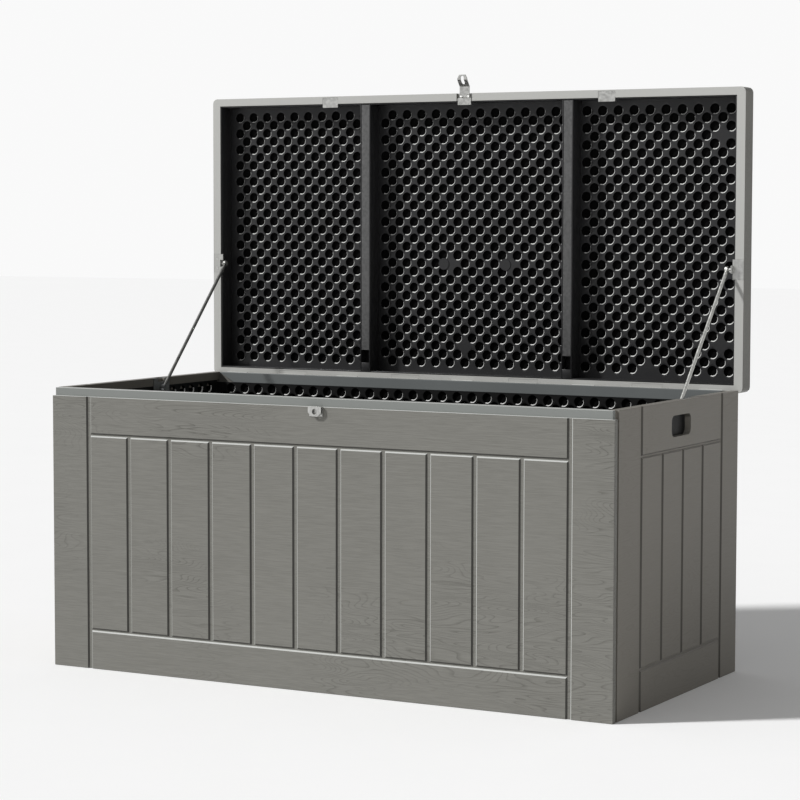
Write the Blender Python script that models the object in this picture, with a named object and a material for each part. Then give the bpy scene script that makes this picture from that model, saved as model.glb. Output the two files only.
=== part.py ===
"""Deck storage box with a hinged, stayed and lockable lid.

Frame: metres, +Z up, +X to the right seen from the front, +Y to the back.  The origin is the middle of
the base's underside.  The lid is modelled closed, in the frame of its hinge axis, and then stood open.
"""
import math

import bmesh
import bpy
from mathutils import Vector

# ---------------------------------------------------------------- driving sizes
body_width = 1.455
body_depth = 0.712
body_height = 0.665
fit = 0.0003
overcut = 0.002

# how finely round pieces are faceted
round_sides = 24
pin_sides = 16
screw_sides = 12
smooth_angle = math.radians(35)
corner_steps = 3
edge_steps = 4

# walls: a grooved outer slab with a lip round its top, and a black liner inside it
slab_thickness = 0.016
slab_skin = 0.006
front_wall = 0.027
side_wall = 0.022
back_wall = 0.030
lip_height = 0.020
liner_skin = 0.003
pocket_border = 0.014
front_corner_reveal = 0.007
corner_tongue_inset = 0.006

# the stepped band along the top of the front wall
band_height = 0.019
band_setback = 0.004
band_end_inset = 0.006

# plank pattern: stiles at the ends and rails above and below, with the planks sharing what is between
front_planks = 11
front_stile = 0.10325
side_planks = 4
side_front_stile = 0.1435
side_back_stile = 0.1025
bottom_rail = 0.0925
top_rail = 0.1090
groove_width = 0.0135
groove_depth = 0.0035
groove_slope = 0.0025
rail_groove_width = 0.0090

# base
base_height = 0.030
base_skin = 0.005
base_rib = 0.022
base_middle_rib = 0.080
base_bays_each_side = 3

# hand holds in the end walls
hand_hold_width = 0.111
hand_hold_height = 0.0475
hand_hold_depth = 0.018
hand_hold_radius = 0.014
hand_hold_wall = 0.003
hand_hold_border = 0.008
hand_hold_middle = 0.010
hand_hold_drop = 0.056

# rail across the inside of the back wall
rail_height = 0.025
rail_end_gap = 0.0075
rail_chamfer = 0.044

# lid
lid_side_overhang = 0.009
lid_front_overhang = 0.004
lid_rise = 0.058
lid_recess = 0.047
lid_side_rim = 0.022
lid_front_rim = 0.019
lid_back_rim = 0.018
lid_edge_radius = 0.018
lid_corner_radius = 0.012
lid_seat_gap = 0.001
lid_skin = 0.0035
lid_liner_skin = 0.003
lid_liner_drop = 0.0035
lid_open_angle = math.radians(90)

# hinge: a rod through barrels on the back wall and leaves let into the lid
hinge_inset = 0.002
hinge_drop = 0.005
hinge_rod_radius = 0.003
hinge_bore_clearance = 0.0004
hinge_barrel_radius = 0.0056
hinge_relief = 0.0008
hinge_rod_end_gap = 0.016
leaf_length = 0.080
leaf_reach = 0.015
leaf_thickness = 0.003
hinge_end_margin = 0.0675
leaf_web_reach = 0.0045
saddle_length = 0.060

# bars that stiffen the lid
bar_spacing = 0.562
bar_width = 0.022
bar_height = 0.020
bar_wall = 0.0015
bar_below_rim = 0.0012
bar_back_gap = 0.075
bar_front_gap = 0.001
rib_wall = 0.003
rib_crest_below_rim = 0.0018
rib_stub_length = 0.021

# clips on the lid's front rim
clip_spacing = 0.766
clip_width = 0.044
clip_edge_gap = 0.0035
sheet = 0.002
sheet_below_rim = 0.0002
clip_reach = 0.009
clip_upstand = 0.008

# hasp on the middle of the lid's front rim
hasp_pin_inset = 0.008
hasp_pin_rise = 0.004
hasp_pin_radius = 0.0014
hasp_knuckle_radius = 0.0031
hasp_knuckle_gap = 0.0005
hasp_tongue_drop = 0.0029
hasp_middle_knuckle = 0.0124
hasp_outer_knuckle = 0.0065
hasp_strap_above_rim = 0.0008
hasp_reach = 0.0095
hasp_leaf_width = 0.0365
hasp_strap_width = 0.0270
hasp_strap_length = 0.025
hasp_crank_angle = math.radians(39)
hasp_crank_length = 0.0206
hasp_tip_length = 0.012
hasp_tip_corner_width = 0.0048
hasp_tip_corner_length = 0.009
hasp_slot_width = 0.009
hasp_slot_start = 0.030
hasp_slot_end = 0.050
hasp_notch_width = 0.043
hasp_notch_depth = 0.0085
hasp_notch_clearance = 0.0045

# staple below the hasp
staple_width = 0.034
staple_top = 0.0175
staple_drop = 0.0215
staple_standoff = 0.009
staple_hole = 0.013
staple_corner = 0.009
rivet_radius = 0.0020
rivet_head_radius = 0.0036
rivet_head_height = 0.0014
rivet_crown_radius = 0.0018
rivet_shoulder_radius = 0.0032
rivet_shoulder_height = 0.0008
rivet_spacing = 0.020

# stays: a rod pinned to the lid slides through a swivel on each end wall
stay_radius = 0.288
stay_pin_below_rim = 0.005
stay_swivel_drop = 0.018
stay_rod_radius = 0.004
stay_plane = 0.031
stay_eye_radius = 0.008
stay_eye_thickness = 0.006
stay_overrun = 0.0145
stay_pin_radius = 0.0025
stay_pin_shoulder_radius = 0.004
stay_pin_head_radius = 0.0045
stay_pin_head_height = 0.0015
swivel_radius = 0.0078
swivel_length = 0.012
swivel_bore_clearance = 0.0005
swivel_stub_radius = 0.003
collar_radius = 0.0062
collar_length = 0.005
upper_plate_length = 0.047
upper_plate_thickness = 0.0025
upper_flange_width = 0.018
upper_flange_drop = 0.013
upper_flange_inset = 0.0063
upper_plate_edge_gap = 0.001
lower_plate_length = 0.068
lower_plate_height = 0.026
lower_plate_thickness = 0.0025
lower_ear_length = 0.018
lower_ear_reach = 0.014
stay_notch_length = 0.030
stay_notch_depth = 0.0165
stay_notch_reach = 0.007
screw_radius = 0.0018
screw_head_radius = 0.0040
screw_head_height = 0.0018
screw_length = 0.011
screw_spacing = 0.023

# ---------------------------------------------------------------- derived places
half_width = body_width / 2
half_depth = body_depth / 2
hinge_y = half_depth - hinge_inset
hinge_z = body_height - hinge_drop
rim_level = hinge_drop + lid_seat_gap
lid_half_width = half_width + lid_side_overhang
lid_back = half_depth - hinge_y
lid_front = lid_back - body_depth - lid_front_overhang
lid_top = rim_level + lid_rise
recess_half_width = lid_half_width - lid_side_rim
recess_front = lid_front + lid_front_rim
recess_back = lid_back - lid_back_rim
recess_floor = rim_level + lid_recess
inner_half_width = half_width - side_wall
inner_front = -half_depth + front_wall
inner_back = half_depth - back_wall
slab_half_width = half_width - slab_thickness
band_bottom = body_height - band_height
lip_bottom = body_height - lip_height
stay_x = half_width - stay_plane
plank_bottom = bottom_rail
plank_top = body_height - top_rail
plank_pitch = (body_width - 2 * front_stile) / front_planks
side_plank_pitch = (body_depth - side_front_stile - side_back_stile) / side_planks
side_plank_middle = (side_front_stile - side_back_stile) / 2
hand_hold_level = body_height - hand_hold_drop
leaf_spacing = (half_width - hinge_end_margin) / 2
swivel_y = hinge_y - math.sqrt(stay_radius ** 2 - stay_swivel_drop ** 2)
swivel_z = hinge_z - stay_swivel_drop
stay_pin_z = rim_level - stay_pin_below_rim
stay_pin_y = -math.sqrt(stay_radius ** 2 - stay_pin_z ** 2)
sheet_top = rim_level + sheet_below_rim + sheet
hasp_pin_y = lid_front + hasp_pin_inset
hasp_pin_z = rim_level + hasp_pin_rise
rivet_level = body_height - staple_top - sheet - staple_drop / 2
upper_plate_bottom = rim_level + sheet_below_rim
upper_plate_top = upper_plate_bottom + upper_plate_thickness
upper_screw_x = (recess_half_width + lid_half_width) / 2
ear_bottom = body_height - fit - sheet
lower_screw_offset = (lower_plate_length - lower_ear_length) / 2


# ---------------------------------------------------------------- tools
def clear_scene():
    """Start from an empty scene."""
    for old in list(bpy.data.objects):
        bpy.data.objects.remove(old, do_unlink=True)


def new_material(name, color, roughness, metallic=0.0):
    """A Principled material."""
    material = bpy.data.materials.new(name)
    material.use_nodes = True
    shader = material.node_tree.nodes["Principled BSDF"]
    shader.inputs["Base Color"].default_value = (*color, 1.0)
    shader.inputs["Roughness"].default_value = roughness
    shader.inputs["Metallic"].default_value = metallic
    material.diffuse_color = (*color, 1.0)
    return material


def new_empty(name, location, turn_x, parent=None):
    """An empty on a joint's axis, which carries what turns about it."""
    empty = bpy.data.objects.new(name, None)
    bpy.context.collection.objects.link(empty)
    empty.location = location
    empty.rotation_euler = (turn_x, 0.0, 0.0)
    empty.parent = parent
    return empty


def new_object(name, build, parent, location, turn_z):
    """A mesh object made by build(bm), which works in the object's own coordinates."""
    bm = bmesh.new()
    build(bm)
    bmesh.ops.recalc_face_normals(bm, faces=bm.faces)
    mesh = bpy.data.meshes.new(name)
    bm.to_mesh(mesh)
    bm.free()
    made = bpy.data.objects.new(name, mesh)
    bpy.context.collection.objects.link(made)
    made.location = location
    made.rotation_euler = (0.0, 0.0, turn_z)
    made.parent = parent
    return made


def add_part(name, build, material, parent=None, location=(0.0, 0.0, 0.0), turn_z=0.0):
    """One sub-part of the box, shaded smooth where its faces meet at a shallow angle."""
    part = new_object(name, build, parent, location, turn_z)
    part.data.materials.append(material)
    part.data.shade_smooth()
    part.data.set_sharp_from_angle(angle=smooth_angle)
    return part


def shape(part, name, build, operation="DIFFERENCE"):
    """Cut a shape out of a part, or join it on.  It is built in the part's own coordinates."""
    tool = new_object(part.name + "." + name, build, part.parent, part.location, part.rotation_euler[2])
    tool.hide_render = True
    tool.display_type = "WIRE"
    modifier = part.modifiers.new(name, "BOOLEAN")
    modifier.operation = operation
    modifier.object = tool
    modifier.solver = "EXACT"


def add_prism(bm, outline, axis, start, end):
    """Extrude a polygon along an axis.  Its points give the other two coordinates, in XYZ order."""
    def place(point, along):
        if axis == "X":
            return (along, point[0], point[1])
        if axis == "Y":
            return (point[0], along, point[1])
        return (point[0], point[1], along)

    low = [bm.verts.new(place(point, start)) for point in outline]
    high = [bm.verts.new(place(point, end)) for point in outline]
    bm.faces.new(low)
    bm.faces.new(high)
    for index in range(len(outline)):
        after = (index + 1) % len(outline)
        bm.faces.new((low[index], low[after], high[after], high[index]))


def add_block(bm, corner, opposite):
    """A rectangular block between two opposite corners, given in any order."""
    low = [min(pair) for pair in zip(corner, opposite)]
    high = [max(pair) for pair in zip(corner, opposite)]
    outline = [(low[0], low[1]), (high[0], low[1]), (high[0], high[1]), (low[0], high[1])]
    add_prism(bm, outline, "Z", low[2], high[2])


def add_turned(bm, profile, start, direction, sides=round_sides):
    """A solid turned round a line.  Its profile is a list of (distance from start, radius)."""
    turn = Vector(direction).to_track_quat("Z", "Y").to_matrix()
    rings = []
    for along, radius in profile:
        ring = []
        for step in range(sides):
            angle = 2 * math.pi * (step + 0.5) / sides
            spot = Vector((radius * math.cos(angle), radius * math.sin(angle), along))
            ring.append(bm.verts.new(Vector(start) + turn @ spot))
        rings.append(ring)
    bm.faces.new(rings[0])
    bm.faces.new(rings[-1])
    for lower, upper in zip(rings, rings[1:]):
        for step in range(sides):
            after = (step + 1) % sides
            bm.faces.new((lower[step], lower[after], upper[after], upper[step]))


def strip(line, thickness):
    """The outline of a bent sheet: a line of points, thickened evenly on both sides."""
    sides = ([], [])
    for index, point in enumerate(line):
        here = Vector(point)
        before = here - Vector(line[index - 1]) if index > 0 else None
        after = Vector(line[index + 1]) - here if index < len(line) - 1 else None
        first = (before or after).normalized()
        second = (after or before).normalized()
        normal_one = Vector((-first[1], first[0]))
        normal_two = Vector((-second[1], second[0]))
        mitre = normal_one + normal_two
        offset = mitre * (thickness / mitre.dot(normal_one) / 2)
        sides[0].append(tuple(here + offset))
        sides[1].append(tuple(here - offset))
    return sides[0] + sides[1][::-1]


def rounded_outline(middle, half_a, half_b, radius, steps=4):
    """The outline of a rectangle with round corners."""
    points = []
    for corner, (sign_a, sign_b) in enumerate(((1, 1), (-1, 1), (-1, -1), (1, -1))):
        for step in range(steps + 1):
            angle = math.pi / 2 * (corner + step / steps)
            points.append((middle[0] + sign_a * (half_a - radius) + radius * math.cos(angle),
                           middle[1] + sign_b * (half_b - radius) + radius * math.sin(angle)))
    return points


# ---------------------------------------------------------------- walls
# A wall is built facing -Y, with x along it, y into it and z up, and is then turned to its place.
def groove_outline(middle, width):
    """A groove's cross-section, as (along the wall, into the wall)."""
    half = width / 2
    return [(middle - half, -groove_depth), (middle - half, 0.0),
            (middle - half + groove_slope, groove_depth), (middle + half - groove_slope, groove_depth),
            (middle + half, 0.0), (middle + half, -groove_depth)]


def cut_planks(wall, middle, pitch, count, top):
    """Two stile grooves from the floor to the top, and the grooves round the planks between them."""
    first = middle - pitch * count / 2
    last = middle + pitch * count / 2

    def plank_grooves(bm):
        for index in range(1, count):
            add_prism(bm, groove_outline(first + pitch * index, groove_width), "Z", plank_bottom, plank_top)

    def rail_grooves(bm):
        for level in (plank_bottom, plank_top):
            outline = [(into, up) for up, into in groove_outline(level, rail_groove_width)]
            add_prism(bm, outline, "X", first, last)

    def stile_grooves(bm):
        for place in (first, last):
            add_prism(bm, groove_outline(place, groove_width), "Z", -groove_depth, top)

    shape(wall, "planks", plank_grooves)
    shape(wall, "rails", rail_grooves)
    shape(wall, "stiles", stile_grooves)


def hollow_wall(wall, left, right):
    """Hollow a slab from the inside, leaving its outer skin and a border."""
    low = (left + pocket_border, slab_skin, base_height + pocket_border)
    high = (right - pocket_border, slab_thickness + overcut, lip_bottom - pocket_border)
    shape(wall, "hollow", lambda bm: add_block(bm, low, high))


def make_front_panel():
    """Front wall: its top steps back in a band, and a lip covers the liner's edge."""
    def slab(bm):
        outline = [(0.0, 0.0), (slab_thickness, 0.0), (slab_thickness, body_height),
                   (band_setback, body_height), (band_setback, band_bottom), (0.0, band_bottom)]
        add_prism(bm, outline, "X", -half_width, half_width)

    def lip(bm):
        low = (-inner_half_width + fit, slab_skin + band_setback, lip_bottom)
        add_block(bm, low, (inner_half_width - fit, front_wall, body_height))

    def band_ends(bm):
        for side in (-1, 1):
            near = (side * (half_width - band_end_inset), -overcut, band_bottom)
            add_block(bm, near, (side * (half_width + overcut), front_wall, body_height + overcut))

    def rivet_holes(bm):
        for side in (-1, 1):
            start = (side * rivet_spacing / 2, -overcut, rivet_level)
            profile = [(0.0, rivet_radius + fit), (slab_thickness + 2 * overcut, rivet_radius + fit)]
            add_turned(bm, profile, start, (0, 1, 0), screw_sides)

    wall = add_part("front_panel", slab, grey_front, location=(0, -half_depth, 0))
    shape(wall, "lip", lip, "UNION")
    shape(wall, "band_ends", band_ends)
    cut_planks(wall, 0.0, plank_pitch, front_planks, band_bottom)
    hollow_wall(wall, -inner_half_width, inner_half_width)
    shape(wall, "rivet_holes", rivet_holes)


def make_back_panel():
    """Back wall: it stands between the end walls and carries the hinge's fixed barrels."""
    reach = hinge_inset + hinge_barrel_radius + hinge_relief
    saddles = [leaf_spacing * step for step in range(-2, 3)]

    def slab(bm):
        half = slab_half_width - fit
        add_block(bm, (-half, 0, 0), (half, slab_thickness, body_height))

    def relief(bm):
        low = (-half_width, -overcut, hinge_z - hinge_barrel_radius - hinge_relief)
        add_block(bm, low, (half_width, reach, body_height + overcut))

    def saddle_blocks(bm):
        for middle in saddles:
            low = (middle - saddle_length / 2, hinge_inset, hinge_z - hinge_barrel_radius)
            top = hinge_z + hinge_barrel_radius - hinge_relief
            high = (middle + saddle_length / 2, reach + overcut, top)
            add_block(bm, low, high)

    def saddle_barrels(bm):
        for middle in saddles:
            start = (middle - saddle_length / 2, hinge_inset, hinge_z)
            profile = [(0.0, hinge_barrel_radius), (saddle_length, hinge_barrel_radius)]
            add_turned(bm, profile, start, (1, 0, 0))

    def bore(bm):
        radius = hinge_rod_radius + hinge_bore_clearance
        start = (-half_width, hinge_inset, hinge_z)
        add_turned(bm, [(0.0, radius), (body_width, radius)], start, (1, 0, 0))

    wall = add_part("back_panel", slab, grey_side, location=(0, half_depth, 0), turn_z=math.pi)
    shape(wall, "relief", relief)
    shape(wall, "saddle_blocks", saddle_blocks, "UNION")
    shape(wall, "saddle_barrels", saddle_barrels, "UNION")
    shape(wall, "bore", bore)
    cut_planks(wall, 0.0, plank_pitch, front_planks, hinge_z - 2 * hinge_barrel_radius)
    hollow_wall(wall, -inner_half_width, inner_half_width)


def make_end_panel(name, side):
    """End wall: side is 1 on the right and -1 on the left, and side * world y runs along it."""
    front_edge = -half_depth + slab_thickness + fit
    face_edge = -half_depth + slab_thickness + front_corner_reveal
    grip_middle = (side * hand_hold_middle, hand_hold_level)

    def slab(bm):
        outline = [(face_edge, 0.0), (half_depth, 0.0), (half_depth, slab_thickness),
                   (front_edge, slab_thickness), (front_edge, corner_tongue_inset),
                   (face_edge, corner_tongue_inset)]
        add_prism(bm, [(side * along, into) for along, into in outline], "Z", 0.0, body_height)

    def lip(bm):
        low = (side * front_edge, slab_skin, lip_bottom)
        add_block(bm, low, (side * (half_depth - slab_thickness - fit), side_wall, body_height))

    def grip_box(bm):
        half = (hand_hold_width / 2 + hand_hold_border, hand_hold_height / 2 + hand_hold_border)
        outline = rounded_outline(grip_middle, half[0], half[1], hand_hold_border)
        add_prism(bm, outline, "Y", slab_skin - hand_hold_wall, hand_hold_depth + hand_hold_wall)

    def grip(bm):
        outline = rounded_outline(grip_middle, hand_hold_width / 2, hand_hold_height / 2, hand_hold_radius)
        add_prism(bm, outline, "Y", -overcut, hand_hold_depth)

    def stay_notch(bm):
        low = (side * (swivel_y - stay_notch_length / 2), side_wall - stay_notch_reach,
               body_height - stay_notch_depth)
        high = (side * (swivel_y + stay_notch_length / 2), side_wall + overcut, body_height + overcut)
        add_block(bm, low, high)

    def ear_recess(bm):
        half = lower_plate_length / 2 + fit
        low = (side * (swivel_y - half), side_wall - lower_ear_reach - fit, ear_bottom - fit)
        high = (side * (swivel_y + half), side_wall + overcut, body_height + overcut)
        add_block(bm, low, high)

    def screw_holes(bm):
        for step in (-1, 1):
            along = side * (swivel_y + step * lower_screw_offset)
            start = (along, side_wall - lower_ear_reach / 2, body_height)
            add_turned(bm, screw_hole_profile(), start, (0, 0, -1), screw_sides)

    wall = add_part(name, slab, grey_side, location=(side * half_width, 0, 0), turn_z=side * math.pi / 2)
    shape(wall, "lip", lip, "UNION")
    cut_planks(wall, side * side_plank_middle, side_plank_pitch, side_planks, body_height + groove_depth)
    hollow_wall(wall, min(side * front_edge, side * half_depth), max(side * front_edge, side * half_depth))
    shape(wall, "grip_box", grip_box, "UNION")
    shape(wall, "grip", grip)
    shape(wall, "stay_notch", stay_notch)
    shape(wall, "ear_recess", ear_recess)
    shape(wall, "screw_holes", screw_holes)


def make_liners():
    """The black inner faces of the four walls."""
    bottom = base_height + fit
    half_run = slab_half_width - fit

    def across(near, far, top, open_side):
        """A liner on the front or back wall, hollowed from the side that faces the slab."""
        def body(bm):
            add_block(bm, (-half_run, near, bottom), (half_run, far, top))

        def hollow(bm):
            low = (-half_run + pocket_border, near, bottom + pocket_border)
            high = (half_run - pocket_border, far, top - pocket_border)
            if open_side < 0:
                add_block(bm, (low[0], near - overcut, low[2]), (high[0], far - liner_skin, high[2]))
            else:
                add_block(bm, (low[0], near + liner_skin, low[2]), (high[0], far + overcut, high[2]))
        return body, hollow

    outer = half_depth - slab_thickness - fit
    front_body, front_hollow = across(-outer, inner_front, lip_bottom - fit, -1)
    back_body, back_hollow = across(inner_back, outer, body_height - rail_height - fit, 1)
    shape(add_part("front_liner", front_body, black), "hollow", front_hollow)
    shape(add_part("back_liner", back_body, black), "hollow", back_hollow)

    for name, side in (("left", -1), ("right", 1)):
        def body(bm):
            low = (side * (inner_half_width + fit), inner_front + fit, bottom)
            add_block(bm, low, (side * half_run, inner_back - fit, lip_bottom - fit))

        def grip_window(bm):
            half = (hand_hold_width / 2 + hand_hold_border + 2 * fit,
                    hand_hold_height / 2 + hand_hold_border + 2 * fit)
            middle = (hand_hold_middle, hand_hold_level)
            outline = rounded_outline(middle, half[0], half[1], hand_hold_border)
            add_prism(bm, outline, "X", side * (inner_half_width - overcut), side * half_width)

        shape(add_part(name + "_liner", body, black), "grip_window", grip_window)


def make_back_rail():
    """Grey rail along the inside of the back wall's top, with its lower corners cut away."""
    half = inner_half_width - rail_end_gap

    def body(bm):
        bottom = body_height - rail_height
        outline = [(-half, body_height), (half, body_height),
                   (half - rail_chamfer, bottom), (-half + rail_chamfer, bottom)]
        add_prism(bm, outline, "Y", inner_back, half_depth - slab_thickness - fit)

    add_part("back_rail", body, grey_rim)


def make_base():
    """Floor: a panel hollowed from below between its ribs."""
    half_x = slab_half_width - fit
    half_y = half_depth - slab_thickness - fit

    def body(bm):
        add_block(bm, (-half_x, -half_y, 0), (half_x, half_y, base_height))

    def bays(bm):
        run = half_x - base_rib - base_middle_rib / 2
        bay = (run - base_rib * (base_bays_each_side - 1)) / base_bays_each_side
        for side in (-1, 1):
            for index in range(base_bays_each_side):
                near = base_middle_rib / 2 + index * (bay + base_rib)
                for row in (-1, 1):
                    low = (side * near, row * base_rib / 2, -overcut)
                    high = (side * (near + bay), row * (half_y - base_rib), base_height - base_skin)
                    add_block(bm, low, high)

    shape(add_part("base_panel", body, black), "bays", bays)


def screw_hole_profile():
    """The hole that a screw goes into, from the face that it is driven through."""
    radius = screw_radius + fit
    return [(-overcut, radius), (screw_length + overcut, radius)]


def add_screw(name, start, direction, parent):
    """A countersunk screw whose flat head starts at start."""
    head = [(0.0, screw_head_radius), (screw_head_height, screw_radius), (screw_length, screw_radius)]
    add_part(name, lambda bm: add_turned(bm, head, (0, 0, 0), direction, screw_sides), steel, parent, start)


def countersink_profile():
    """The cone that a screw's head sits in, and the hole below it."""
    return [(-overcut, screw_head_radius + overcut + fit), (0.0, screw_head_radius + fit),
            (screw_head_height, screw_radius + fit), (screw_length, screw_radius + fit)]


# ---------------------------------------------------------------- lid
def make_lid_shell(lid):
    """The lid's outer skin and rim, recessed from below."""
    def body(bm):
        add_block(bm, (-lid_half_width, lid_front, rim_level), (lid_half_width, lid_back, lid_top))
        bm.edges.ensure_lookup_table()
        upright = [edge for edge in bm.edges
                   if abs(edge.verts[0].co.z - edge.verts[1].co.z) > lid_rise / 2]
        bmesh.ops.bevel(bm, geom=upright, offset=lid_corner_radius, segments=corner_steps,
                        profile=0.5, affect="EDGES")
        top = [edge for edge in bm.edges if min(vert.co.z for vert in edge.verts) > lid_top - fit]
        bmesh.ops.bevel(bm, geom=top, offset=lid_edge_radius, segments=edge_steps,
                        profile=0.5, affect="EDGES", offset_type="OFFSET", clamp_overlap=True)

    def recess(bm):
        add_block(bm, (-recess_half_width, recess_front, rim_level - overcut),
                  (recess_half_width, recess_back, lid_top - lid_skin))

    def leaf_pockets(bm):
        for middle in leaf_places():
            half = leaf_length / 2 + fit
            add_block(bm, (middle - half, lid_back - leaf_reach - fit, rim_level - overcut),
                      (middle + half, lid_back + overcut, rim_level + leaf_thickness + fit))

    def clip_pockets(bm):
        for side in (-1, 1):
            half = clip_width / 2 + fit
            middle = side * clip_spacing / 2
            add_block(bm, (middle - half, lid_front + clip_edge_gap - fit, rim_level - overcut),
                      (middle + half, recess_front + overcut, sheet_top + fit))

    def hasp_notch(bm):
        half = hasp_notch_width / 2
        add_block(bm, (-half, lid_front - overcut, rim_level - overcut),
                  (half, hasp_pin_y + hasp_notch_clearance, rim_level + hasp_notch_depth))

    def hasp_bed(bm):
        half = hasp_notch_width / 2
        add_block(bm, (-half, lid_front - overcut, rim_level - overcut),
                  (half, recess_front + overcut, sheet_top + fit))

    def stay_beds(bm):
        for side in (-1, 1):
            half = upper_plate_length / 2 + fit
            outer = lid_half_width - upper_plate_edge_gap + fit
            add_block(bm, (side * (recess_half_width - overcut), stay_pin_y - half, rim_level - overcut),
                      (side * outer, stay_pin_y + half, upper_plate_top + fit))

    def screw_holes(bm):
        for start in upper_screw_places():
            add_turned(bm, screw_hole_profile(), start, (0, 0, 1), screw_sides)

    shell = add_part("lid_shell", body, grey_front, lid)
    shape(shell, "recess", recess)
    shape(shell, "leaf_pockets", leaf_pockets)
    shape(shell, "clip_pockets", clip_pockets)
    shape(shell, "hasp_notch", hasp_notch)
    shape(shell, "hasp_bed", hasp_bed)
    shape(shell, "stay_beds", stay_beds)
    shape(shell, "screw_holes", screw_holes)


def make_lid_liner(lid):
    """The lid's black inner pan, with two ribs that hold the stiffener bars."""
    half_x = recess_half_width - fit
    front = recess_front + fit
    back = recess_back - fit
    inner_half = bar_width / 2 + fit
    outer_half = inner_half + rib_wall
    crest = rim_level + rib_crest_below_rim
    seat = rim_level + bar_below_rim + bar_height + fit
    root = recess_floor + lid_liner_skin / 2

    def pan(bm):
        add_block(bm, (-half_x, front, rim_level + lid_liner_drop),
                  (half_x, back, recess_floor + lid_liner_skin))

    def inside(bm):
        add_block(bm, (-half_x + lid_liner_skin, front + lid_liner_skin, rim_level - overcut),
                  (half_x - lid_liner_skin, back - lid_liner_skin, recess_floor))

    def ribs(bm):
        for side in (-1, 1):
            middle = side * bar_spacing / 2
            outline = [(-outer_half, root), (-outer_half, crest), (-inner_half, crest), (-inner_half, seat),
                       (inner_half, seat), (inner_half, crest), (outer_half, crest), (outer_half, root)]
            outline = [(middle + across, up) for across, up in outline]
            add_prism(bm, outline, "Y", front + lid_liner_skin / 2, back - lid_liner_skin / 2)

    def stubs(bm):
        for side in (-1, 1):
            middle = side * bar_spacing / 2
            half = inner_half + rib_wall / 2
            low = (middle - half, back - lid_liner_skin - rib_stub_length, crest + fit)
            add_block(bm, low, (middle + half, back - lid_liner_skin / 2, seat + rib_wall))

    liner = add_part("lid_liner", pan, black, lid)
    shape(liner, "inside", inside)
    shape(liner, "ribs", ribs, "UNION")
    shape(liner, "stubs", stubs, "UNION")


def make_stiffener_bar(name, side, lid):
    """A square steel tube, open at both ends, that lies in one of the lid liner's ribs."""
    start = recess_front + fit + lid_liner_skin + bar_front_gap
    end = lid_back - bar_back_gap
    low = rim_level + bar_below_rim
    middle = side * bar_spacing / 2

    def body(bm):
        add_block(bm, (-bar_width / 2, start, low), (bar_width / 2, end, low + bar_height))

    def bore(bm):
        half = bar_width / 2 - bar_wall
        add_block(bm, (-half, start - overcut, low + bar_wall),
                  (half, end + overcut, low + bar_height - bar_wall))

    shape(add_part(name, body, dull_steel, lid, (middle, 0, 0)), "bore", bore)


def make_clip(name, side, lid):
    """A bent steel clip let into the lid's front rim."""
    level = rim_level + sheet_below_rim + sheet / 2
    end = recess_front + clip_reach - sheet / 2
    line = [(lid_front + clip_edge_gap, level), (end, level), (end, level + clip_upstand)]

    def body(bm):
        add_prism(bm, strip(line, sheet), "X", -clip_width / 2, clip_width / 2)

    add_part(name, body, steel, lid, (side * clip_spacing / 2, 0, 0))


def leaf_places():
    """The middles of the four moving hinge leaves."""
    return [leaf_spacing * (step + 0.5) for step in range(-2, 2)]


def make_hinge(lid):
    """The hinge rod, and the leaves that turn on it with the lid."""
    bore_radius = hinge_rod_radius + hinge_bore_clearance
    rod_half = slab_half_width - hinge_rod_end_gap

    def rod(bm):
        profile = [(0.0, hinge_rod_radius), (2 * rod_half, hinge_rod_radius)]
        add_turned(bm, profile, (-rod_half, 0, 0), (1, 0, 0))

    def leaf(bm):
        outline = [(lid_back, 0.0), (lid_back, rim_level + leaf_thickness),
                   (lid_back - leaf_reach, rim_level + leaf_thickness), (lid_back - leaf_reach, rim_level),
                   (-leaf_web_reach, rim_level), (-leaf_web_reach, 0.0)]
        add_prism(bm, outline, "X", -leaf_length / 2, leaf_length / 2)

    def barrel(bm):
        profile = [(0.0, hinge_barrel_radius), (leaf_length, hinge_barrel_radius)]
        add_turned(bm, profile, (-leaf_length / 2, 0, 0), (1, 0, 0))

    def bore(bm):
        profile = [(0.0, bore_radius), (leaf_length + 2 * overcut, bore_radius)]
        add_turned(bm, profile, (-leaf_length / 2 - overcut, 0, 0), (1, 0, 0))

    add_part("hinge_rod", rod, steel, location=(0, hinge_y, hinge_z))
    for number, middle in enumerate(leaf_places(), 1):
        part = add_part("hinge_leaf_%d" % number, leaf, grey_rim, lid, (middle, 0, 0))
        shape(part, "barrel", barrel, "UNION")
        shape(part, "bore", bore)


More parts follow.
